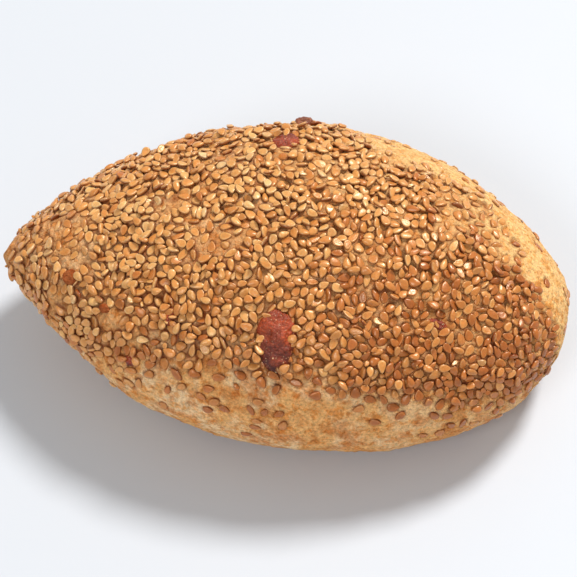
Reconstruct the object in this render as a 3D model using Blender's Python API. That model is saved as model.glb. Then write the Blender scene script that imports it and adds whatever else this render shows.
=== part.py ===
"""A sesame bread roll: a lemon-shaped roll baked on a tray, with pieces of dried fruit in its crust.

Frame: metres, +Z up, X along the roll from its pointed end to its blunt end, and the origin on the
tray under the middle of the roll. The roll is one solid. Each fruit piece is a solid of its own in
a pocket of the crust. The sesame seeds are a finish of the crust and aren't modelled here.
"""

import math

import bmesh
import bpy
from mathutils import Matrix, Vector, noise

# --- Driving dimensions -------------------------------------------------------------------------
LENGTH = 0.135
WIDTH = 0.082
HEIGHT = 0.052

BELLY_SHIFT = 0.004  # the widest section, towards +X from mid-length
SIDE_BOW = 0.002  # the tips' shift towards -Y from the middle
LEFT_TIP_HEIGHT = 0.0225  # the pointed tip, above the tray
RIGHT_TIP_HEIGHT = 0.0175  # the blunt tip, above the tray
SIDE_DEPTH = 0.030  # how far the sides would curve below the tips if no tray stopped them
TRAY_FILLET = 0.0025  # half the height over which the sides bend into the flat base

# Outline of each end, in plan and from the side: (1 - s ** power) ** sharpness, s from belly to tip.
LEFT_POWER, LEFT_SHARPNESS = 1.9, 0.77
RIGHT_POWER, RIGHT_SHARPNESS = 1.8, 0.50

SEGMENTS = 64  # faces round the roll
RINGS = 42  # faces along it

SWELL_HEIGHT = 0.0005  # the crust's broad, irregular swells
SWELL_SPACING = 0.020

# Folds, hollows and flattened stretches of the crust: the two points that each runs between, its
# reach to each side, and its depth.
CRUST_FORMS = {
    "front_fold": ((0.001, -0.035, 0.037), (-0.003, -0.041, 0.018), 0.0035, 0.0007),
    "left_fold": ((-0.020, -0.021, 0.044), (-0.032, -0.032, 0.029), 0.0035, 0.0006),
    "top_ledge": ((-0.023, -0.002, 0.048), (-0.012, 0.001, 0.050), 0.0030, 0.0006),
    "long_hollow": ((0.013, -0.020, 0.047), (0.046, -0.018, 0.038), 0.0055, 0.0010),
    "right_toe": ((0.067, -0.004, 0.016), (0.063, -0.015, 0.014), 0.0080, 0.0014),
    "left_toe": ((-0.061, -0.012, 0.021), (-0.044, -0.024, 0.017), 0.0090, 0.0015),
    "front_flat": ((-0.018, -0.036, 0.009), (0.020, -0.037, 0.009), 0.0080, 0.0007),
    "front_right_flat": ((0.048, -0.027, 0.011), (0.053, -0.024, 0.011), 0.0050, 0.0007),
    "back_left_flat": ((-0.055, 0.013, 0.030), (-0.036, 0.026, 0.032), 0.0090, 0.0008),
    "back_flat": ((-0.024, 0.031, 0.034), (-0.010, 0.035, 0.035), 0.0070, 0.0008),
    "back_right_flat": ((0.048, 0.023, 0.029), (0.058, 0.015, 0.027), 0.0070, 0.0006),
}

FRUIT_GAP = 0.0003  # clearance between a fruit piece and its pocket
FRUIT_LUMPS = 0.16  # unevenness of a fruit piece, as a share of its radius
FRUIT_LUMP_COUNT = 1.6  # lumps along a fruit piece's radius
FRUIT_SUBDIVISIONS = 3

# Fruit pieces: plan point on the crust, (width, length, thickness), how far it stands proud of the
# crust, its turn about the crust's normal in degrees, and how much wider its +Y end is.
FRUIT = {
    "fruit_front": ((0.0022, -0.0295), (0.0094, 0.0142, 0.0050), 0.0010, 4, 0.22),
    "fruit_back": ((-0.0030, 0.0220), (0.0066, 0.0080, 0.0042), 0.0009, -20, 0.10),
    "fruit_crest": ((0.0005, 0.0325), (0.0054, 0.0048, 0.0042), 0.0019, 0, 0.0),
    "fruit_left": ((-0.0232, -0.0242), (0.0056, 0.0046, 0.0036), 0.0005, 35, 0.0),
    "fruit_low_left": ((-0.0309, -0.0306), (0.0040, 0.0034, 0.0030), 0.0006, 0, 0.0),
    "fruit_right": ((0.0370, -0.0190), (0.0068, 0.0042, 0.0036), 0.0004, -10, 0.0),
}

CRUST_COLOUR, CRUST_ROUGHNESS = (0.56, 0.30, 0.12), 0.62
FRUIT_COLOUR, FRUIT_ROUGHNESS = (0.20, 0.045, 0.035), 0.38


# --- Shared helpers -----------------------------------------------------------------------------
def clear_scene():
    for scene_object in list(bpy.data.objects):
        bpy.data.objects.remove(scene_object)


def new_collection(name):
    collection = bpy.data.collections.new(name)
    bpy.context.scene.collection.children.link(collection)
    return collection


def new_material(name, colour, roughness):
    material = bpy.data.materials.new(name)
    material.use_nodes = True
    shader = material.node_tree.nodes["Principled BSDF"]
    shader.inputs["Base Color"].default_value = (*colour, 1.0)
    shader.inputs["Roughness"].default_value = roughness
    return material


def new_object(name, bm, collection, material=None):
    """A smooth-shaded object that holds the bmesh, which is used up."""
    mesh = bpy.data.meshes.new(name)
    bm.to_mesh(mesh)
    bm.free()
    mesh.shade_smooth()
    if material:
        mesh.materials.append(material)
    made = bpy.data.objects.new(name, mesh)
    collection.objects.link(made)
    return made


# --- The roll -----------------------------------------------------------------------------------
def crust_point(axis_share, angle):
    """A point of the plain form: axis_share runs from -1 at the pointed tip to 1 at the blunt tip."""
    towards_tip = abs(axis_share)
    if axis_share < 0:
        x = BELLY_SHIFT + axis_share * (LENGTH / 2 + BELLY_SHIFT)
        girth = (1 - towards_tip**LEFT_POWER) ** LEFT_SHARPNESS
    else:
        x = BELLY_SHIFT + axis_share * (LENGTH / 2 - BELLY_SHIFT)
        girth = (1 - towards_tip**RIGHT_POWER) ** RIGHT_SHARPNESS
    axis_height = LEFT_TIP_HEIGHT + (RIGHT_TIP_HEIGHT - LEFT_TIP_HEIGHT) * (x / LENGTH + 0.5)
    rise = HEIGHT - axis_height if math.sin(angle) > 0 else SIDE_DEPTH
    y = -SIDE_BOW * axis_share**2 + WIDTH / 2 * girth * math.cos(angle)
    return Vector((x, y, axis_height + rise * girth * math.sin(angle)))


def relief(point):
    """How far the crust stands out of the plain form at a point: its swells less its hollows."""
    height = SWELL_HEIGHT * noise.noise(point / SWELL_SPACING)
    for start, end, reach, depth in CRUST_FORMS.values():
        start, run = Vector(start), Vector(end) - Vector(start)
        share = min(max((point - start).dot(run) / run.length_squared, 0), 1)
        distance = (point - start - share * run).length
        height -= depth * math.exp(-((distance / reach) ** 2))
    return height


def rest_on_tray(height):
    """The height of a point once the dough has settled: never below the tray, with a soft edge."""
    if height < -TRAY_FILLET:
        return 0.0
    if height < TRAY_FILLET:
        return (height + TRAY_FILLET) ** 2 / (4 * TRAY_FILLET)
    return height


def make_roll(collection, material):
    bm = bmesh.new()
    bmesh.ops.create_uvsphere(bm, u_segments=SEGMENTS, v_segments=RINGS, radius=1)
    bmesh.ops.rotate(bm, verts=bm.verts, matrix=Matrix.Rotation(math.radians(90), 3, "Y"))
    for vert in bm.verts:
        angle = math.atan2(vert.co.z, vert.co.y)
        vert.co = crust_point(min(max(vert.co.x, -1), 1), angle)
    bm.normal_update()
    for vert in bm.verts:
        vert.co += vert.normal * relief(vert.co)
        vert.co.z = rest_on_tray(vert.co.z)
    return new_object("roll", bm, collection, material)


# --- The fruit ----------------------------------------------------------------------------------
def fruit_bmesh(size, widening, seed):
    """An uneven lump of the given size about the origin, wider at its +Y end."""
    bm = bmesh.new()
    bmesh.ops.create_icosphere(bm, subdivisions=FRUIT_SUBDIVISIONS, radius=1)
    for vert in bm.verts:
        lump = 1 + FRUIT_LUMPS * noise.noise(vert.co * FRUIT_LUMP_COUNT + Vector((seed, 0, 0)))
        x, y, z = vert.co * lump
        vert.co = (x * (1 + widening * y) * size[0] / 2, y * size[1] / 2, z * size[2] / 2)
    return bm


def fruit_place(roll, plan, thickness, proud, turn):
    """The matrix that sets a lump into the crust at a plan point, its own +Z along the crust's normal."""
    above = Vector((*plan, 2 * HEIGHT))
    found, surface, normal, _ = roll.ray_cast(above, Vector((0, 0, -1)))
    if not found:
        raise ValueError(f"no crust under the plan point {plan}")
    up_slope = (Vector((0, 1, 0)) - normal * normal.y).normalized()
    across = up_slope.cross(normal)
    upright = Matrix((across, up_slope, normal)).transposed().to_4x4()
    centre = surface + normal * (proud - thickness / 2)
    return Matrix.Translation(centre) @ upright @ Matrix.Rotation(math.radians(turn), 4, "Z")


def make_fruit(roll, fruit_collection, cutter_collection, material):
    """Every fruit piece, and a cutter round each one for the pocket that it sits in."""
    for seed, (name, (plan, size, proud, turn, widening)) in enumerate(FRUIT.items()):
        place = fruit_place(roll, plan, size[2], proud, turn)

        piece = fruit_bmesh(size, widening, seed)
        new_object(name, piece, fruit_collection, material).matrix_world = place

        pocket = fruit_bmesh(size, widening, seed)
        pocket.normal_update()
        for vert in pocket.verts:
            vert.co += vert.normal * FRUIT_GAP
        cutter = new_object(name + "_pocket", pocket, cutter_collection)
        cutter.matrix_world = place
        cutter.display_type = "WIRE"
        cutter.hide_render = True


def cut_pockets(roll, cutter_collection):
    pockets = roll.modifiers.new("pockets", "BOOLEAN")
    pockets.operation = "DIFFERENCE"
    pockets.solver = "EXACT"
    pockets.operand_type = "COLLECTION"
    pockets.collection = cutter_collection


def main():
    clear_scene()
    bread = new_collection("bread roll")
    cutters = new_collection("cutters")
    roll = make_roll(bread, new_material("crust", CRUST_COLOUR, CRUST_ROUGHNESS))
    bpy.context.view_layer.update()
    make_fruit(roll, bread, cutters, new_material("dried fruit", FRUIT_COLOUR, FRUIT_ROUGHNESS))
    cut_pockets(roll, cutters)


main()
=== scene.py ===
"""Looks of the sesame bread roll, built round its CAD model.

The crust is one fine mesh laid over the CAD roll. The seeds are dropped on it one by one, lean on
each other and press their beds into it, and the fruit pieces are fine meshes grown from their CAD
lumps. Everything is in metres, in the frame of the CAD model: X along the roll, +Z up.
"""

import math

import bmesh
import bpy
import numpy as np
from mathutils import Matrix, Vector
from mathutils.bvhtree import BVHTree
from mathutils.kdtree import KDTree


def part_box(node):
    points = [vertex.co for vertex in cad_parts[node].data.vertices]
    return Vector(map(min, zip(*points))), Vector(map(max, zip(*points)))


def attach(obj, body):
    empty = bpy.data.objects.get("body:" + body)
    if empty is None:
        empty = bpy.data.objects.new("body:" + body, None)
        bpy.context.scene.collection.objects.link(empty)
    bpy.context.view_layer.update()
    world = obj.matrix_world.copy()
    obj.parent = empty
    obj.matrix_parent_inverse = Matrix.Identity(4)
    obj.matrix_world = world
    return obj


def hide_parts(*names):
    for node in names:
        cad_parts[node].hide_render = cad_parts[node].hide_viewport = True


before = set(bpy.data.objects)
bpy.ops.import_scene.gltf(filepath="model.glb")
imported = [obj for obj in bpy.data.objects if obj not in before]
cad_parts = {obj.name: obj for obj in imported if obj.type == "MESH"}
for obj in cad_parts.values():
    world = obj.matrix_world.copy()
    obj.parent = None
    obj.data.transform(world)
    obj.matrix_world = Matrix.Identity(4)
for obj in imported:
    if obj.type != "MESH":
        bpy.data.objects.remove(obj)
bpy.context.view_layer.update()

MM = 0.001

# --- Crust ----------------------------------------------------------------------------------------
CRUST_SPACING = 0.56 * MM  # between the crust's points
POCKET_REACH = 1.6 * MM  # the crust this near a fruit piece is bridged over its pocket
BRIDGE_ROUNDS = 300  # enough to carry the crust across a pocket from its rim
SMOOTH_ROUNDS = 30  # enough to round off the CAD model's facets
SMOOTH_STEPS = (0.6, -0.62)  # inwards, then back out, which keeps the pointed tip
SEED_LAYER = 0.62 * MM  # the seeded crust lies this far inside the CAD model, under its seeds

# --- Seeds ----------------------------------------------------------------------------------------
SEED_LENGTH, SEED_WIDTH, SEED_THICKNESS = 2.95 * MM, 1.88 * MM, 1.12 * MM
SEED_SPREAD = 0.09  # standard deviation of a seed's size, as a share of it

# The seeded zone's lower edge: its height at stations along the roll, on the -Y and the +Y side.
EDGE_STATIONS = np.array((-67, -50, -35, -20, 0, 18, 38, 54, 67)) * MM
NEAR_EDGE = np.array((12, 21.5, 29.5, 34, 37.5, 35.5, 30.5, 22, 14)) * MM
FAR_EDGE = np.array((12, 18, 22, 27, 35, 44.5, 43.5, 39.5, 31)) * MM
EDGE_SEAM = np.array((0, 0, 0, 0, 0, 0, -1, -5, -12)) * MM  # the y where the near edge ends
SEAM_FADE = 5 * MM  # half the width over which it turns into the far one
EDGE_FADE = 3.5 * MM  # half the height over which the seeds give out
EDGE_WANDER = 2.2 * MM  # how far the edge wanders up and down
EDGE_WANDER_SPACING = 9 * MM

THIN_SPACING = 9 * MM  # between the stretches where the seeds lie thinner
THIN_LOSS = 0.5  # the share of the seeds missing there
THIN_LOSS_LEFT = 0.4  # the share missing as well towards the pointed end
MOST_GAP = 0.55  # between seeds where they lie thinnest, as a share of their reach

# Patches of bare crust among the seeds: plan point and radius in millimetres.
BARE_PATCHES = (
    ((-37.0, -23.0), 3.2),
    ((-51.0, -17.5), 2.8),
    ((14.5, -21.0), 2.4),
    ((25.0, 22.5), 3.4),
    ((-46.0, 6.0), 2.2),
    ((-2.0, -6.0), 1.6),
    ((-30.5, -28.0), 2.4),
    ((-44.5, -19.5), 2.4),
    ((31.0, 8.0), 1.6),
)
PATCH_FLOOR = 15 * MM  # the patches stay above this height

# Seeds set one by one, sunk in the bare crust of the near side or lying over the edge of the front
# fruit
# piece: plan point and height in millimetres, heading in degrees, and the share of the seed's
# thickness under the crust, which is negative for a seed held clear of it by the fruit.
SET_SEEDS = (
    ((-12.5, -37.0), 31.5, 20, 0.60),
    ((-14.0, -37.8), 29.0, -30, 0.60),
    ((-11.0, -38.5), 28.5, 35, 0.60),
    ((-12.5, -39.0), 25.5, 5, 0.60),
    ((-1.0, -38.0), 30.5, 10, 0.60),
    ((-2.5, -38.8), 28.0, -60, 0.60),
    ((0.8, -38.8), 28.0, 60, 0.60),
    ((-1.0, -39.8), 25.0, 0, 0.60),
    ((-1.5, -40.4), 22.5, 5, 0.60),
    ((-3.5, -40.8), 18.5, 0, 0.60),
    ((6.0, -26.4), 44.5, 10, -0.45),
    ((5.3, -28.3), 43.2, 195, -0.75),
    ((4.6, -33.4), 38.8, 60, -1.0),
    ((-2.2, -32.0), 39.8, 110, -0.40),
)


def smooth_noise(points, spacing, seed):
    """Smooth noise between -1 and 1 at each point, with swells about a spacing apart."""
    cells = points / spacing
    base = np.floor(cells).astype(np.int64)
    blend = cells - base
    blend = blend * blend * blend * (blend * (blend * 6 - 15) + 10)
    total = np.zeros(len(points))
    for corner in np.ndindex(2, 2, 2):
        weight = np.prod(np.where(corner, blend, 1 - blend), axis=1)
        x, y, z = (base + corner).T
        mixed = (x * 73856093 ^ y * 19349663 ^ z * 83492791 ^ seed * 40503) & 0xFFFFFFFF
        mixed = (mixed ^ (mixed >> 16)) * 73244475 & 0xFFFFFFFF
        mixed = (mixed ^ (mixed >> 16)) * 73244475 & 0xFFFFFFFF
        mixed = mixed ^ (mixed >> 16)
        total += weight * (mixed / 0x7FFFFFFF - 1)
    return total


def layered_noise(points, spacing, seed, layers=3):
    """Smooth noise with finer, weaker layers on it, still roughly between -1 and 1."""
    total = np.zeros(len(points))
    for layer in range(layers):
        total += smooth_noise(points, spacing / 2**layer, seed + layer) / 2**layer
    return total / 1.4


def ease(value, low, high):
    """0 below low, 1 above high, and a smooth step between."""
    share = np.clip((value - low) / (high - low), 0, 1)
    return share * share * (3 - 2 * share)


def mix(first, second, share):
    """Between two colours, row by row."""
    share = np.asarray(share)[..., None]
    return np.asarray(first) * (1 - share) + np.asarray(second) * share


def linear(red, green, blue):
    """A colour given as sRGB 0 to 255, in linear light."""
    value = np.array((red, green, blue)) / 255
    return np.where(value > 0.04045, ((value + 0.055) / 1.055) ** 2.4, value / 12.92)


def unit(vectors):
    return vectors / np.linalg.norm(vectors, axis=-1, keepdims=True)


def points_of(mesh):
    points = np.empty(len(mesh.vertices) * 3)
    mesh.vertices.foreach_get("co", points)
    return points.reshape(-1, 3)


def normals_of(mesh):
    normals = np.empty(len(mesh.vertices) * 3)
    mesh.vertex_normals.foreach_get("vector", normals)
    return normals.reshape(-1, 3)


def move_points(mesh, points):
    mesh.vertices.foreach_set("co", points.ravel())
    mesh.update()


def paint(mesh, colours):
    """Stores a colour for each point, which the material reads as Paint."""
    layer = mesh.color_attributes.new("Paint", "FLOAT_COLOR", "POINT")
    rows = np.column_stack((colours, np.ones(len(colours))))
    layer.data.foreach_set("color", rows.astype(np.float32).ravel())


def show(name, mesh, material, replaced=None):
    """Puts a finished mesh in the scene as a piece of the object."""
    mesh.shade_smooth()
    mesh.materials.clear()
    mesh.materials.append(material)
    piece = bpy.data.objects.new(name, mesh)
    bpy.context.scene.collection.objects.link(piece)
    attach(piece, "root")
    if replaced:
        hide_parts(replaced)
    return piece


# --- Materials ------------------------------------------------------------------------------------
class Shader:
    """A Principled material whose nodes are added one line at a time."""

    def __init__(self, name, **settings):
        self.material = bpy.data.materials.new(name)
        self.material.use_nodes = True
        self.nodes = self.material.node_tree.nodes
        self.links = self.material.node_tree.links
        self.principled = self.nodes["Principled BSDF"]
        for setting, value in settings.items():
            self.principled.inputs[setting.replace("_", " ")].default_value = value

    def node(self, kind, inputs=(), **properties):
        made = self.nodes.new(kind)
        for name, value in properties.items():
            setattr(made, name, value)
        for socket, value in dict(inputs).items():
            if isinstance(value, bpy.types.NodeSocket):
                self.links.new(value, made.inputs[socket])
            else:
                made.inputs[socket].default_value = value
        return made

    def noise(self, spacing, detail=3.0, roughness=0.5, distortion=0.0):
        """Noise from 0 to 1 over the object, with features about a spacing across."""
        place = self.node("ShaderNodeTexCoord").outputs["Object"]
        inputs = {"Vector": place, "Scale": 1 / spacing, "Detail": detail}
        inputs |= {"Roughness": roughness, "Distortion": distortion}
        return self.node("ShaderNodeTexNoise", inputs).outputs["Fac"]

    def ramp(self, value, low, high, low_result=0.0, high_result=1.0):
        inputs = {"Value": value, "From Min": low, "From Max": high}
        inputs |= {"To Min": low_result, "To Max": high_result}
        return self.node("ShaderNodeMapRange", inputs).outputs["Result"]

    def painted(self):
        return self.node("ShaderNodeAttribute", attribute_name="Paint").outputs["Color"]

    def scaled(self, colour, factor):
        """A colour times a factor that a node gives."""
        inputs = {0: colour, "Scale": factor}
        return self.node("ShaderNodeVectorMath", inputs, operation="SCALE").outputs["Vector"]

    def tinted(self, colour, tint):
        """A colour times another one."""
        inputs = {0: colour, 1: tint}
        return self.node("ShaderNodeVectorMath", inputs, operation="MULTIPLY").outputs["Vector"]

    def blended(self, first, second, share):
        node = self.node("ShaderNodeMix", data_type="RGBA")
        for socket, value in (("Factor", share), ("A", first), ("B", second)):
            target = next(s for s in node.inputs if s.name == socket and s.enabled)
            if isinstance(value, bpy.types.NodeSocket):
                self.links.new(value, target)
            else:
                target.default_value = value
        return next(s for s in node.outputs if s.enabled)

    def bump(self, height, depth, below=None):
        inputs = {"Height": height, "Distance": depth, "Strength": 1.0}
        if below:
            inputs["Normal"] = below
        return self.node("ShaderNodeBump", inputs).outputs["Normal"]

    def finish(self, **sockets):
        for name, output in sockets.items():
            self.links.new(output, self.principled.inputs[name.replace("_", " ")])
        return self.material


def crust_material():
    shader = Shader("baked crust", Subsurface_Weight=0.1, Subsurface_Scale=0.0015)
    shader.principled.inputs["Subsurface Radius"].default_value = (1.0, 0.5, 0.25)
    shader.principled.inputs["Specular IOR Level"].default_value = 0.1
    browned = shader.tinted(shader.painted(), (0.86, 0.60, 0.36))
    blotches = shader.ramp(shader.noise(2.2 * MM, 5, 0.7, 0.4), 0.48, 0.62)
    colour = shader.blended(shader.painted(), browned, blotches)
    speck = shader.ramp(shader.noise(0.7 * MM, 3, 0.65), 0.3, 0.7, 0.66, 1.34)
    colour = shader.scaled(colour, speck)
    roughness = shader.ramp(shader.noise(3 * MM), 0.3, 0.7, 0.6, 0.8)
    pores = shader.bump(shader.noise(0.6 * MM, 4, 0.7), 0.4 * MM)
    wrinkles = shader.bump(shader.noise(1.8 * MM, 3, 0.55, 0.6), 0.8 * MM, pores)
    return shader.finish(Base_Color=colour, Roughness=roughness, Normal=wrinkles)


def sesame_material():
    shader = Shader("toasted sesame", Subsurface_Weight=0.15, Subsurface_Scale=0.001)
    shader.principled.inputs["Subsurface Radius"].default_value = (1.0, 0.6, 0.3)
    shader.principled.inputs["Specular IOR Level"].default_value = 0.85
    shader.principled.inputs["Specular Tint"].default_value = (1.0, 0.86, 0.66, 1.0)
    fleck = shader.ramp(shader.noise(0.5 * MM, 3, 0.6), 0.3, 0.7, 0.88, 1.1)
    colour = shader.scaled(shader.painted(), fleck)
    roughness = shader.ramp(shader.noise(1.2 * MM), 0.3, 0.7, 0.24, 0.38)
    grain = shader.bump(shader.noise(0.3 * MM, 3, 0.6), 0.03 * MM)
    return shader.finish(Base_Color=colour, Roughness=roughness, Normal=grain)


def fruit_material():
    shader = Shader("dried fruit", Subsurface_Weight=0.15, Subsurface_Scale=0.0015)
    shader.principled.inputs["Subsurface Radius"].default_value = (1.0, 0.25, 0.15)
    grain = shader.noise(0.55 * MM, 4, 0.65)
    colour = shader.scaled(shader.painted(), shader.ramp(grain, 0.3, 0.7, 0.55, 1.5))
    fleck = shader.ramp(shader.noise(0.45 * MM, 2, 0.5, 0.5), 0.66, 0.72)
    colour = shader.blended(colour, (*FRUIT_FLECK, 1), fleck)
    roughness = shader.ramp(shader.noise(0.8 * MM), 0.3, 0.7, 0.25, 0.5)
    grains = shader.bump(grain, 0.35 * MM)
    return shader.finish(Base_Color=colour, Roughness=roughness, Normal=grains)


# --- The crust's plain form -----------------------------------------------------------------------
def cad_tree(node):
    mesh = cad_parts[node].data
    faces = [face.vertices[:] for face in mesh.polygons]
    return BVHTree.FromPolygons([vert.co for vert in mesh.vertices], faces)


def box_mesh(half_sides, spacing):
    """A closed box about the origin, from -1 to 1, whose faces are cut into even squares."""
    bm = bmesh.new()
    bmesh.ops.create_cube(bm, size=2)
    for axis, half_side in enumerate(half_sides):
        quarter_arc = half_side * math.pi / 4  # a box side stands for a quarter of the roll's girth
        cuts = round(2 * quarter_arc / spacing) - 1
        along = [e for e in bm.edges if abs(e.verts[0].co[axis] - e.verts[1].co[axis]) > 1e-6]
        bmesh.ops.subdivide_edges(bm, edges=along, cuts=cuts, use_grid_fill=True)
    mesh = bpy.data.meshes.new("crust")
    bm.to_mesh(mesh)
    bm.free()
    return mesh


def neighbour_mean(values, edges, count):
    """Each point's mean over the points that an edge joins it to."""
    total = np.bincount(edges[:, 0], values[edges[:, 1]], len(values))
    total += np.bincount(edges[:, 1], values[edges[:, 0]], len(values))
    return total / count


def crust_mesh():
    """A fine, even mesh over the CAD roll, with its pockets bridged and its facets rounded off."""
    low, high = (np.array(corner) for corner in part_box("roll"))
    centre, half_sides = (low + high) / 2, (high - low) / 2
    mesh = box_mesh(half_sides, CRUST_SPACING)
    spokes = unit(np.tan(points_of(mesh) * math.pi / 4)) * half_sides
    lengths = np.linalg.norm(spokes, axis=1)

    roll = cad_tree("roll")
    fruit = [cad_tree(node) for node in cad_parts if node.startswith("fruit")]
    reach = np.empty(len(spokes))
    pocket = np.zeros(len(spokes), bool)
    for i, spoke in enumerate(spokes):
        place, _, _, distance = roll.ray_cast(Vector(centre), Vector(spoke))
        reach[i] = distance / lengths[i]
        pocket[i] = any(tree.find_nearest(place, POCKET_REACH)[0] for tree in fruit)

    edges = np.empty(len(mesh.edges) * 2, int)
    mesh.edges.foreach_get("vertices", edges)
    edges = edges.reshape(-1, 2)
    count = np.bincount(edges.ravel(), minlength=len(spokes))
    for _ in range(BRIDGE_ROUNDS):
        reach[pocket] = neighbour_mean(reach, edges, count)[pocket]
    for step in SMOOTH_STEPS * SMOOTH_ROUNDS:
        reach += step * (neighbour_mean(reach, edges, count) - reach)
    points = centre + spokes * reach[:, None]
    points[:, 2] = np.maximum(points[:, 2], 0)
    move_points(mesh, points)
    return mesh


class Surface:
    """The crust's points and normals, and a way to find the crust nearest to any point."""

    def __init__(self, mesh):
        self.points, self.normals = points_of(mesh), normals_of(mesh)
        self.tree = BVHTree.FromPolygons(self.points.tolist(), [p.vertices[:] for p in mesh.polygons])
        self.index = KDTree(len(self.points))
        for i, point in enumerate(self.points):
            self.index.insert(point, i)
        self.index.balance()

    def nearest(self, point):
        """The crust's nearest point and its smooth normal there."""
        place = self.tree.find_nearest(Vector(point))[0]
        near = [row[1] for row in self.index.find_n(place, 4)]
        return np.array(place), unit(self.normals[near].sum(axis=0))

    def within(self, point, distance):
        return np.array([row[1] for row in self.index.find_range(Vector(point), distance)], int)


# --- Where the seeds lie --------------------------------------------------------------------------
def edge_height(points):
    """The height of the seeded zone's lower edge at each point's place along the roll."""
    near = np.interp(points[:, 0], EDGE_STATIONS, NEAR_EDGE)
    far = np.interp(points[:, 0], EDGE_STATIONS, FAR_EDGE)
    seam = np.interp(points[:, 0], EDGE_STATIONS, EDGE_SEAM)
    far_side = ease(points[:, 1] - seam, -SEAM_FADE, SEAM_FADE)
    wander = EDGE_WANDER * layered_noise(points, EDGE_WANDER_SPACING, 11)
    return near + (far - near) * far_side + wander


def seed_cover(points):
    """How thickly the seeds lie at each point: 1 in the seeded zone, 0 on bare crust."""
    cover = ease(points[:, 2] - edge_height(points), -EDGE_FADE, EDGE_FADE)
    upper = points[:, 2] > PATCH_FLOOR
    for (x, y), radius in BARE_PATCHES:
        distance = np.hypot(points[:, 0] - x * MM, points[:, 1] - y * MM)
        cover *= np.where(upper, ease(distance, 0.5 * radius * MM, 1.2 * radius * MM), 1)
    leftwards = 1 - ease(points[:, 0], -30 * MM, 20 * MM)
    thin = ease(layered_noise(points, THIN_SPACING, 13), -0.1, 0.5)
    return cover * (1 - (THIN_LOSS + THIN_LOSS_LEFT * leftwards) * thin)


class Seed:
    """One seed: its centre, its three axes (along, aside and up) and its size."""

    # Three discs that stand for the seed's outline when it is kept apart from others.
    DISC_PLACES = np.array((-0.19, 0.05, 0.31))  # along the seed, in lengths
    DISC_RADII = np.array((0.47, 0.44, 0.27))  # in widths
    BELLY_DEPTH = 0.42  # of the points that touch the seeds below, in thicknesses
    LEAST_RISE = 0.05 * MM  # a touch this slight doesn't move the seed
    MOST_SLOPE = 0.8

    def __init__(self, place, up, heading, size, sunk):
        along = unit(heading - up * (heading @ up))
        self.axes = np.array((along, np.cross(up, along), up))
        self.normal = up
        self.size = np.array(size)
        self.centre = place + up * size[2] * (0.5 - sunk)
        self.discs = place + self.DISC_PLACES[:, None] * size[0] * along
        self.radii = self.DISC_RADII * size[1]
        self.sunk = sunk

    def move(self, step):
        self.centre = self.centre + step
        self.discs = self.discs + step

    def local(self, points):
        """Points in the seed's own axes, in half sizes from its centre."""
        return (points - self.centre) @ self.axes.T / (self.size / 2)

    def clearance_over(self, points):
        """How far each point would have to rise to clear this seed."""
        along, aside, up = self.local(points).T
        inside = 1 - along**2 - aside**2
        top = np.sqrt(np.clip(inside, 0, 1))
        return np.where(inside > 0, np.clip(top - up, 0, None), 0) * self.size[2] / 2

    def rest_on(self, lower_seeds):
        """Tilts and lifts the seed so that it leans on the seeds below it."""
        angles = np.arange(10) * math.pi / 5
        ring = np.column_stack((np.cos(angles), np.sin(angles)))
        spots = np.vstack((0.95 * ring, 0.65 * ring, 0.3 * ring)) * self.size[:2] / 2
        belly = self.centre - self.BELLY_DEPTH * self.size[2] * self.axes[2]
        points = belly + spots @ self.axes[:2]
        rise = np.max([seed.clearance_over(points) for seed in lower_seeds], axis=0)
        if rise.max() < self.LEAST_RISE:
            return
        plane = np.column_stack((spots, np.ones(len(spots))))
        slope_along, slope_aside, lift = np.linalg.lstsq(plane, rise, rcond=None)[0]
        fitted = plane @ (slope_along, slope_aside, lift)
        lift = min(lift + (rise - fitted).max(), MOST_LIFT * max(self.axes[2][2], 0.1))
        slopes = np.clip((slope_along, slope_aside), -self.MOST_SLOPE, self.MOST_SLOPE)
        along = unit(self.axes[0] + slopes[0] * self.axes[2])
        aside = self.axes[1] + slopes[1] * self.axes[2]
        up = unit(np.cross(along, aside))
        self.centre = self.centre + lift * self.axes[2]
        self.axes = np.array((along, np.cross(up, along), up))

    def roll_over(self, degrees):
        """Turns the seed about its own length."""
        turn = math.radians(degrees)
        aside = math.cos(turn) * self.axes[1] + math.sin(turn) * self.axes[2]
        self.axes = np.array((self.axes[0], aside, np.cross(self.axes[0], aside)))

    def pitch(self, degrees):
        """Lifts the seed's pointed end."""
        turn = math.radians(degrees)
        along = math.cos(turn) * self.axes[0] + math.sin(turn) * self.axes[2]
        self.axes = np.array((along, self.axes[1], np.cross(along, self.axes[1])))


class SeedBed:
    """The seeds laid so far, sorted into cells so that a seed's neighbours are found fast."""

    CELL = 4.2 * MM

    def __init__(self):
        self.seeds = []
        self.cells = {}

    def cell(self, point):
        return tuple(np.floor(point / self.CELL).astype(int))

    def near(self, point):
        x, y, z = self.cell(point)
        around = ((x + i - 1, y + j - 1, z + k - 1) for i, j, k in np.ndindex(3, 3, 3))
        return [seed for cell in around for seed in self.cells.get(cell, ())]

    def lay(self, seed, most_overlap, nudges=4):
        """Nudges a seed clear of the others and lays it, unless one still overlaps it too much."""
        neighbours = self.near(seed.discs[1])
        if neighbours:
            discs = np.array([other.discs for other in neighbours])
            reach = seed.radii[:, None, None] + np.array([other.radii for other in neighbours])
            for _ in range(nudges):
                apart = seed.discs[:, None, None] - discs
                distance = np.linalg.norm(apart, axis=3)
                depth = np.clip(reach - distance, 0, None) / distance
                push = (apart * depth[..., None]).sum(axis=(0, 1, 2))
                seed.move(0.5 * (push - seed.normal * (push @ seed.normal)))
            apart = seed.discs[:, None, None] - discs
            overlap = (1 - np.linalg.norm(apart, axis=3) / reach).max(axis=(0, 2))
            if overlap.max() > most_overlap:
                return
            under = [other for other, share in zip(neighbours, overlap) if share > 0]
            if under:
                seed.rest_on(under)
        self.seeds.append(seed)
        self.cells.setdefault(self.cell(seed.discs[1]), []).append(seed)


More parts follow.
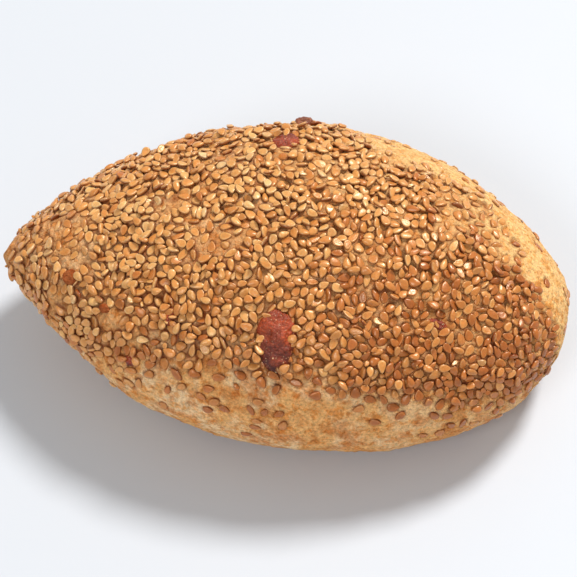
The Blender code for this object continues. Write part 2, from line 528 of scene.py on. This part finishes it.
# Rounds in which the seeds fall: tries, the most overlap, the seeds' scale and the share of their
# thickness that sinks into the crust.
FALLS = (
    (9000, 0.02, 1.00, 0.46),
    (9000, 0.10, 1.00, 0.42),
    (7000, 0.22, 0.96, 0.34),
    (1500, 0.42, 0.94, 0.20),
    (5000, 0.14, 0.62, 0.40),
)
MOST_LIFT = 1.1 * MM  # by which one seed lies on another, and less on a steep side
SEED_TILT = 14  # standard deviation of a lone seed's tilt, in degrees
EDGE_ON_SHARE = 0.04  # seeds that stand on their edge
EDGE_ON_TILTS = (40, 70)  # degrees
SINK_WHERE_THIN = 0.3  # how much deeper the seeds sink where they lie thinnest
TIP_START, TIP_END = 50 * MM, 63.5 * MM  # the roll's tips, from its middle; no seeds lie beyond the end
SINK_AT_TIPS = 0.35  # how much deeper the seeds sink at the end of a tip
TIP_GAP = 0.12  # how much less they may overlap there
STRAY_TRIES = 170
STRAY_DEPTHS = (0.45, 0.8)  # the share of a stray seed's thickness under the crust


def random_size(rng, scale):
    spread = rng.normal(1, (SEED_SPREAD, SEED_SPREAD + 0.03, SEED_SPREAD + 0.06))
    return np.array((SEED_LENGTH, SEED_WIDTH, SEED_THICKNESS)) * np.clip(spread, 0.75, 1.25) * scale


def lay_seeds(surface, rng):
    """Every seed of the roll, in the order in which they fell."""
    bed = SeedBed()
    for (x, y), height, heading, depth in SET_SEEDS:
        place, up = surface.nearest((x * MM, y * MM, height * MM))
        turn = math.radians(heading)
        direction = np.array((math.cos(turn), 0, math.sin(turn)))
        bed.lay(Seed(place, up, direction, random_size(rng, 0.95), depth), 0.3)

    cover = seed_cover(surface.points)
    along = np.abs(surface.points[:, 0])
    tip = ease(along, TIP_START, TIP_END)
    chance = cover * (along < TIP_END)
    for tries, most_overlap, scale, sunk in FALLS:
        for i in rng.choice(len(chance), tries, p=chance / chance.sum()):
            place, up = surface.points[i] + rng.normal(0, 0.1 * MM, 3), surface.normals[i]
            depth = sunk + rng.uniform(-0.08, 0.12) + SINK_WHERE_THIN * (1 - cover[i])
            depth += SINK_AT_TIPS * tip[i]
            seed = Seed(place, up, rng.normal(0, 1, 3), random_size(rng, scale), depth)
            if rng.random() < EDGE_ON_SHARE:
                seed.roll_over(rng.choice((-1, 1)) * rng.uniform(*EDGE_ON_TILTS))
            else:
                seed.roll_over(rng.normal(0, SEED_TILT))
                seed.pitch(rng.normal(0, SEED_TILT / 2))
            bed.lay(seed, most_overlap - MOST_GAP * (1 - cover[i]) - TIP_GAP * tip[i])
    lay_stray_seeds(bed, surface, rng)
    return bed.seeds


def lay_stray_seeds(bed, surface, rng):
    """Seeds baked into the bare crust below the seeded zone, fewer towards the tray."""
    depth_below = edge_height(surface.points) - surface.points[:, 2]
    chance = ease(depth_below, -2 * MM, 3 * MM) * (1 - ease(depth_below, 3 * MM, 22 * MM))
    chance *= surface.points[:, 2] > 5 * MM
    for i in rng.choice(len(chance), STRAY_TRIES, p=chance / chance.sum()):
        size = random_size(rng, 0.95)
        depth = rng.uniform(*STRAY_DEPTHS)
        seed = Seed(surface.points[i], surface.normals[i], rng.normal(0, 1, 3), size, depth)
        bed.lay(seed, -0.1)


# --- The seeds' mesh ------------------------------------------------------------------------------
SEED_SIDES = 16
# Rings of a seed's outline, from the middle of its top over its edge to the middle of its underside:
# radius, height when plump, height when flat with a rim (in half thicknesses), rim colour share, and
# painted contact shade, partly a browning stain, where the seed meets the crust.
SEED_RINGS = (
    (0.00, 1.00, 0.74, 0.0, 0.0),
    (0.36, 0.95, 0.70, 0.0, 0.0),
    (0.60, 0.83, 0.66, 0.1, 0.0),
    (0.78, 0.66, 0.76, 0.8, 0.08),
    (0.92, 0.38, 0.56, 1.0, 0.40),
    (1.00, -0.05, -0.05, 0.8, 0.90),
    (0.80, -0.55, -0.55, 0.5, 1.0),
    (0.00, -0.90, -0.85, 0.5, 1.0),
)


def seed_template():
    """Each point's angle and its ring's values, and the faces between the points of one seed."""
    rows, faces = [], []
    for values in SEED_RINGS:
        sides = 1 if values[0] == 0 else SEED_SIDES
        for side in range(sides):
            rows.append((2 * math.pi * side / SEED_SIDES, *values))
    last = len(SEED_RINGS) - 1
    first_of = [0] + [1 + SEED_SIDES * ring for ring in range(last)]
    for side in range(SEED_SIDES):
        following = (side + 1) % SEED_SIDES
        faces.append((0, first_of[1] + side, first_of[1] + following))
        for ring in range(1, last - 1):
            inner, outer = first_of[ring], first_of[ring + 1]
            faces.append((inner + side, outer + side, outer + following, inner + following))
        faces.append((first_of[last - 1] + side, first_of[last], first_of[last - 1] + following))
    return np.array(rows), faces


def seed_shapes(seeds, rng):
    """The points of every seed, how flat each seed is, and the seeds' shared values and faces."""
    rows, faces = seed_template()
    angle, radius, plump, rimmed, rim, shade_stain = rows.T
    count = len(seeds)
    sizes = np.array([seed.size for seed in seeds])
    axes = np.array([seed.axes for seed in seeds])
    centres = np.array([seed.centre for seed in seeds])
    taper = rng.uniform(0.22, 0.46, (count, 1))
    pinch = rng.uniform(0.0, 0.30, (count, 1))
    flat = np.clip(rng.normal(0.4, 0.35, (count, 1)), 0, 1)
    curl = rng.normal(0, 0.07, (count, 1))
    skew = rng.normal(0, 0.05, (count, 1))

    along = radius * np.cos(angle)
    aside = radius * np.sin(angle) * (1 - taper * along) * (1 - pinch * ease(along, 0.45, 1.0))
    aside = aside + skew * (1 - along**2)
    up = plump * (1 - flat) + rimmed * flat + curl * along**2
    local = np.stack((along + 0 * aside, aside, up), axis=2)
    wobble = rng.normal(0, 1, (count, 1, 3)) * 20
    lumps = smooth_noise((local * (1, 1, 0.4) + wobble).reshape(-1, 3), 0.55, 21).reshape(count, -1)
    local[:, :, 2] += 0.10 * lumps * (radius < 0.95)
    local[:, :, :2] *= 1 + 0.035 * lumps[:, :, None]
    points = centres[:, None] + np.einsum("nkd,nde->nke", local * sizes[:, None] / 2, axes)
    return points, flat, rim, shade_stain, faces


# How the seeds are toasted, from 0 for pale to 1 for brown, and the colours of a seed's middle and its
# rim at each step.
TOAST_MEAN, TOAST_SPREAD = 0.47, 0.11
TOAST_LIMITS = (0.1, 0.88)
TOAST_SUNK = 0.18  # more for the sunk seeds of the near side
TOAST_NEAR_RIGHT = 0.28  # more towards the near side and the blunt end
TOAST_STEPS = (0.0, 0.25, 0.55, 0.8, 1.0)
TOAST_MIDDLE = ((244, 214, 162), (234, 178, 108), (218, 146, 74), (190, 108, 44), (140, 66, 24))
TOAST_RIM = ((250, 232, 190), (244, 206, 144), (232, 176, 106), (206, 134, 66), (166, 90, 40))
# Painted contact shade, partly a browning stain, on a seed's edge and underside where it meets the
# crust.
SEED_SHADE_STAIN = linear(118, 36, 4)


def seed_toast(seeds, rng):
    """How far each seed is toasted."""
    places = np.array([seed.centre for seed in seeds])
    sunk = np.array([seed.sunk for seed in seeds])
    near_side = ease(-places[:, 1], -5 * MM, 25 * MM)
    near_right = places @ unit(np.array((0.55, -0.8, 0)))
    toast = rng.normal(TOAST_MEAN, TOAST_SPREAD, len(seeds))
    toast += TOAST_SUNK * near_side * ease(sunk, 0.5, 0.65)
    toast += TOAST_NEAR_RIGHT * ease(near_right, -15 * MM, 50 * MM)
    return np.clip(toast, *TOAST_LIMITS)


def toast_colour(toast, steps):
    """The colour of each toast level between those of the steps."""
    colours = np.array([linear(*step) for step in steps])
    return np.stack([np.interp(toast, TOAST_STEPS, channel) for channel in colours.T], axis=-1)


def seed_colours(toast, flat, rim, shade_stain, points):
    middle, edge = toast_colour(toast, TOAST_MIDDLE), toast_colour(toast, TOAST_RIM)
    colours = mix(middle[:, None], edge[:, None], rim * (0.45 + 0.55 * flat))
    blotch = smooth_noise(points.reshape(-1, 3), 0.9 * MM, 31).reshape(points.shape[:2])
    # The rings by the crust are darkened with painted contact shade, partly a browning stain.
    return mix(colours * (1 + 0.12 * blotch[..., None]), SEED_SHADE_STAIN, 0.85 * shade_stain)


def seed_mesh(name, seeds, toast, rng):
    points, flat, rim, shade_stain, faces = seed_shapes(seeds, rng)
    colours = seed_colours(toast, flat, rim, shade_stain, points)
    count, size = points.shape[:2]
    all_faces = [[corner + size * i for corner in face] for i in range(count) for face in faces]
    mesh = bpy.data.meshes.new(name)
    mesh.from_pydata(points.reshape(-1, 3).tolist(), [], all_faces)
    paint(mesh, colours.reshape(-1, 3))
    return mesh


# --- The crust's relief and colours ---------------------------------------------------------------
SUNK_DEPTHS = (0.45, 0.6)  # between these shares under the crust a seed turns from lying to sunk
BED_EDGE = (0.92, 1.12)  # the bed's edge, in half sizes of the seed
STEEPEST_BED = 0.8  # a seed that leans more than this cosine presses no bed
LIP_HEIGHT = 0.12 * MM  # of the crust round a sunk seed
LIP_PLACE, LIP_WIDTH = 1.3, 0.16  # in half sizes of the seed
SHADE_STAIN_EDGE = (1.05, 1.45)  # painted shade round a seed, partly a baked stain, in half sizes
SHADE_STAIN_LYING, SHADE_STAIN_SUNK = 0.7, 0.9  # a sunk seed has it on the uphill side only, as a painted shadow


def press_seeds(surface, seeds):
    """Presses each seed's bed into the crust. Gives each point's change of height and its painted shade
    round the seeds, partly a baked stain.
    """
    height = np.zeros(len(surface.points))
    unshaded_unstained = np.ones(len(surface.points))
    for seed in seeds:
        near = surface.within(seed.centre, 0.85 * seed.size[0])
        if not len(near):
            continue
        points = surface.points[near] + surface.normals[near] * height[near, None]
        along, aside, up = seed.local(points).T
        radius = np.hypot(along, aside)
        sunk = ease(seed.sunk, *SUNK_DEPTHS)
        if seed.axes[2] @ surface.normals[near[0]] > STEEPEST_BED:
            under = 1 - ease(radius, *BED_EDGE)
            height[near] -= under * np.clip(up + 0.3, 0, 1) * seed.size[2] / 2
            lip = np.exp(-(((radius - LIP_PLACE) / LIP_WIDTH) ** 2)) * ease(up, -1.2, 0.4)
            height[near] += LIP_HEIGHT * lip * sunk
        # Painted shadow: a sunk seed's dark crescent lies on the crust above it.
        uphill = ease((points[:, 2] - seed.centre[2]) / seed.size[1], -0.1, 0.5)
        strength = SHADE_STAIN_LYING * (1 - sunk) + SHADE_STAIN_SUNK * sunk * uphill
        # Painted shade, partly a baked stain, darkens the crust close round each seed.
        unshaded_unstained[near] *= 1 - strength * (1 - ease(radius, *SHADE_STAIN_EDGE)) * ease(up, -3.0, -1.0)
    return height, 1 - unshaded_unstained


def crust_relief(surface):
    """Swells, wrinkles, blisters and small pits of the bare crust."""
    points = surface.points
    relief = 0.25 * MM * smooth_noise(points, 7 * MM, 41)
    relief += 0.16 * MM * layered_noise(points, 2.4 * MM, 43)
    ridged = 1 - np.abs(smooth_noise(points, 3.2 * MM, 45)) * 2
    relief += 0.09 * MM * ridged
    relief += 0.16 * MM * ease(smooth_noise(points, 1.9 * MM, 49), 0.3, 0.8)
    pits = ease(smooth_noise(points, 1.5 * MM, 47), 0.4, 0.75)
    relief -= 0.22 * MM * pits
    return relief, pits


CRUST_TAN = linear(240, 182, 116)
CRUST_PALE = linear(246, 208, 160)
# Lighter golden crust, partly the crust's own colour and partly painted light on the lit back right.
CRUST_LIT_GOLD = linear(248, 200, 132)
CRUST_ORANGE = linear(206, 128, 62)
CRUST_BROWN = linear(160, 92, 44)
CRUST_SEEDED = linear(212, 154, 98)
# Painted shade in the gaps between the seeds, partly a baked stain.
CRUST_SHADE_STAIN = linear(106, 26, 3)


def crust_colours(surface, shade_stain, pits):
    points, normals = surface.points, surface.normals
    base = np.broadcast_to(CRUST_TAN, points.shape)
    flour = ease(layered_noise(points, 6 * MM, 51), -0.3, 0.3)
    rightwards = ease(points[:, 0], 0, 50 * MM)
    base = mix(base, CRUST_PALE, (0.95 - 0.6 * rightwards) * flour)
    blotch = ease(layered_noise(points, 4 * MM, 53, 4), 0.05, 0.45)
    base = mix(base, CRUST_ORANGE, 0.6 * blotch)
    # Painted light: lighter and more golden towards the back right, the side the key lamp lights,
    # partly the crust's own colour.
    lit_golden = ease(points @ unit(np.array((0.5, 0.7, 0.5))), 20 * MM, 45 * MM)
    base = mix(base, CRUST_LIT_GOLD, 0.85 * lit_golden)
    base = mix(base, CRUST_ORANGE, 0.5 * pits)
    low = 1 - ease(points[:, 2], 1 * MM, 9 * MM)
    base = mix(base, CRUST_BROWN, 0.55 * low * (normals[:, 2] < 0.2))
    base = mix(base, CRUST_BROWN, 0.6 * ease(-points[:, 0], 62 * MM, 67 * MM))
    among_seeds = ease(points[:, 2] - edge_height(points), -EDGE_FADE, EDGE_FADE)
    base = mix(base, CRUST_SEEDED, 0.65 * among_seeds)
    # Painted shade between and round the seeds, partly a baked stain, stronger in patches.
    shade_stain_zone = ease(layered_noise(points, 13 * MM, 55), -0.2, 0.5)
    return mix(base, CRUST_SHADE_STAIN, shade_stain * (0.65 + 0.3 * shade_stain_zone))


# --- The fruit ------------------------------------------------------------------------------------
FRUIT_RED = linear(168, 66, 23)
# The dark of the fruit's underside, painted shade.
FRUIT_DARK = linear(80, 22, 12)
FRUIT_BROWN = linear(150, 82, 44)
FRUIT_FLECK = linear(226, 180, 130)


def fruit_mesh(node, levels):
    """The CAD lump made finer and wrinkled."""
    lump = bpy.data.objects.new(node + "_lump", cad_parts[node].data.copy())
    bpy.context.scene.collection.objects.link(lump)
    weld = lump.modifiers.new("weld", "WELD")
    weld.merge_threshold = 0.02 * MM
    finer = lump.modifiers.new("finer", "SUBSURF")
    finer.levels = finer.render_levels = levels
    evaluated = lump.evaluated_get(bpy.context.evaluated_depsgraph_get())
    mesh = bpy.data.meshes.new_from_object(evaluated)
    bpy.data.objects.remove(lump)

    points, normals = points_of(mesh), normals_of(mesh)
    relief = 0.35 * MM * smooth_noise(points, 2.6 * MM, 61)
    relief += 0.20 * MM * smooth_noise(points, 1.2 * MM, 63)
    relief += 0.14 * MM * smooth_noise(points, 0.6 * MM, 65)
    move_points(mesh, points + normals * relief[:, None])

    # Painted shade: each piece is darker towards its underside and lighter on top.
    upper = ease(points[:, 2], points[:, 2].min(), points[:, 2].max())
    patch = ease(layered_noise(points, 2.2 * MM, 67), -0.4, 0.5)
    lighter = FRUIT_BROWN if node == "fruit_crest" else FRUIT_RED
    paint(mesh, mix(FRUIT_DARK, lighter, np.clip(0.1 + 0.8 * upper + 0.5 * (patch - 0.5), 0, 1)))
    return mesh


# --- Lumps and crumbs -----------------------------------------------------------------------------
# Round lumps in the crust of the pointed end: plan point, height and diameter in millimetres.
LUMPS = (
    ((-47.3, -14.0), 35.6, 3.9),
    ((-38.0, -21.6), 36.4, 2.6),
)
LUMP_SHAPE = np.array((0.5, 0.44, 0.42))  # half sizes, in diameters
LUMP_RISE = 0.02  # of a lump's middle above the crust, in diameters
LUMP_COLOUR = linear(164, 92, 50)
CRUMB_COUNT = 110
CRUMB_COLOUR = linear(214, 156, 96)
CRUMB_HEIGHTS = (0.1, 0.6)  # mm above the crust
CRUMB_HALF_SIZES = (0.12, 0.42)  # mm


def lump_mesh(name, rows, subdivisions, unevenness, colour):
    """Uneven round lumps joined in one mesh, from rows of a centre and three half sizes."""
    bm = bmesh.new()
    bmesh.ops.create_icosphere(bm, subdivisions=subdivisions, radius=1)
    ball = np.array([vert.co for vert in bm.verts])
    faces = [[vert.index for vert in face.verts] for face in bm.faces]
    bm.free()
    places, all_faces = [], []
    for i, (centre, half_sizes) in enumerate(rows):
        uneven = 1 + unevenness * smooth_noise(ball + 10 * i, 0.9, 71)
        places.append(centre + ball * uneven[:, None] * half_sizes)
        all_faces += [[corner + len(ball) * i for corner in face] for face in faces]
    mesh = bpy.data.meshes.new(name)
    mesh.from_pydata(np.concatenate(places).tolist(), [], all_faces)
    paint(mesh, np.broadcast_to(colour, (len(mesh.vertices), 3)))
    return mesh


def add_lumps(surface, material):
    rows = []
    for (x, y), height, diameter in LUMPS:
        place, up = surface.nearest((x * MM, y * MM, height * MM))
        rows.append((place + up * LUMP_RISE * diameter * MM, LUMP_SHAPE * diameter * MM))
    mesh = lump_mesh("round_lumps", rows, 4, 0.16, LUMP_COLOUR)
    show("round_lumps", mesh, material)


def add_crumbs(surface, material, rng):
    cover = seed_cover(surface.points)
    rows = []
    for i in rng.choice(len(cover), CRUMB_COUNT, p=cover / cover.sum()):
        raised = surface.points[i] + surface.normals[i] * rng.uniform(*CRUMB_HEIGHTS) * MM
        rows.append((raised, rng.uniform(*CRUMB_HALF_SIZES, 3) * MM))
    mesh = lump_mesh("crumbs", rows, 2, 0.45, CRUMB_COLOUR)
    show("crumbs", mesh, material)


# --- Building the roll ----------------------------------------------------------------------------
def build_roll():
    rng = np.random.default_rng(7)
    mesh = crust_mesh()
    surface = Surface(mesh)
    relief, pits = crust_relief(surface)
    flat_base = surface.points[:, 2] < 0.3 * MM
    relief[flat_base] = np.abs(relief[flat_base])
    relief -= SEED_LAYER * seed_cover(surface.points)
    surface.points += surface.normals * relief[:, None]
    surface.points[:, 2] = np.maximum(surface.points[:, 2], 0)
    move_points(mesh, surface.points)
    surface = Surface(mesh)

    seeds = lay_seeds(surface, rng)
    height, shade_stain = press_seeds(surface, seeds)
    paint(mesh, crust_colours(surface, shade_stain, pits))
    pressed = surface.points + surface.normals * height[:, None]
    pressed[:, 2] = np.maximum(pressed[:, 2], 0)
    move_points(mesh, pressed)
    baked = crust_material()
    show("crust", mesh, baked, "roll")
    add_crumbs(surface, baked, rng)

    toast = seed_toast(seeds, rng)
    thirds = np.digitize(toast, np.quantile(toast, (1 / 3, 2 / 3)))
    material = sesame_material()
    for third, name in enumerate(("sesame_pale", "sesame_golden", "sesame_toasted")):
        chosen = thirds == third
        kind = [seed for seed, take in zip(seeds, chosen) if take]
        show(name, seed_mesh(name, kind, toast[chosen], rng), material)

    add_lumps(surface, baked)

    material = fruit_material()
    for node in sorted(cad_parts):
        if node.startswith("fruit"):
            levels = 4 if node == "fruit_front" else 3
            show(node + "_piece", fruit_mesh(node, levels), material, node)


# --- Stage ----------------------------------------------------------------------------------------
CAMERA_AZIMUTH, CAMERA_ELEVATION = 7.4, 58.0
CAMERA_DISTANCE = 0.6
SENSOR_WIDTH, LENS = 36, 161.1  # mm
AIM_HEIGHT = 25 * MM  # of the point over the frame's origin that the aim is measured from
AIM_RIGHT, AIM_UP = 0.9 * MM, -3.6 * MM


def look_at(thing, place, target):
    thing.location = place
    thing.rotation_mode = "QUATERNION"
    thing.rotation_quaternion = (Vector(target) - Vector(place)).to_track_quat("-Z", "Y")


def add_camera():
    azimuth, elevation = math.radians(CAMERA_AZIMUTH), math.radians(CAMERA_ELEVATION)
    back = np.array((
        math.sin(azimuth) * math.cos(elevation),
        -math.cos(azimuth) * math.cos(elevation),
        math.sin(elevation),
    ))
    right = np.array((math.cos(azimuth), math.sin(azimuth), 0))
    aim = np.array((0, 0, AIM_HEIGHT)) + AIM_RIGHT * right + AIM_UP * np.cross(back, right)
    camera = bpy.data.objects.new("camera", bpy.data.cameras.new("camera"))
    camera.data.sensor_width = SENSOR_WIDTH
    camera.data.lens = LENS
    camera.data.clip_start = 0.01
    look_at(camera, aim + CAMERA_DISTANCE * back, aim)
    bpy.context.scene.collection.objects.link(camera)
    bpy.context.scene.camera = camera


def add_lamp(name, place, size, watts):
    lamp = bpy.data.lights.new(name, "AREA")
    lamp.shape = "DISK"
    lamp.size = size
    lamp.energy = watts
    holder = bpy.data.objects.new(name, lamp)
    look_at(holder, place, (0, 0, 0.02))
    bpy.context.scene.collection.objects.link(holder)


FLOOR_COLOUR = (0.62, 0.645, 0.68)
SKY_STRENGTH = 0.43
KEY_PLACE, KEY_SIZE, KEY_WATTS = (1.3, 2.0, 3.5), 0.95, 165  # behind the roll, on its right
FILL_PLACE, FILL_SIZE, FILL_WATTS = (-0.6, -1.3, 1.5), 0.7, 12


def add_stage():
    bpy.ops.mesh.primitive_plane_add(size=6)
    floor = bpy.context.object
    floor.name = "floor"
    shader = Shader("white plate", Roughness=0.5)
    shader.principled.inputs["Base Color"].default_value = (*FLOOR_COLOUR, 1)
    floor.data.materials.append(shader.material)

    world = bpy.data.worlds.new("studio")
    bpy.context.scene.world = world
    world.use_nodes = True
    background = world.node_tree.nodes["Background"]
    background.inputs["Color"].default_value = (1, 1, 1, 1)
    background.inputs["Strength"].default_value = SKY_STRENGTH
    add_lamp("key", KEY_PLACE, KEY_SIZE, KEY_WATTS)
    add_lamp("fill", FILL_PLACE, FILL_SIZE, FILL_WATTS)


def main():
    bpy.context.scene.view_settings.view_transform = "Standard"
    build_roll()
    add_camera()
    add_stage()


main()
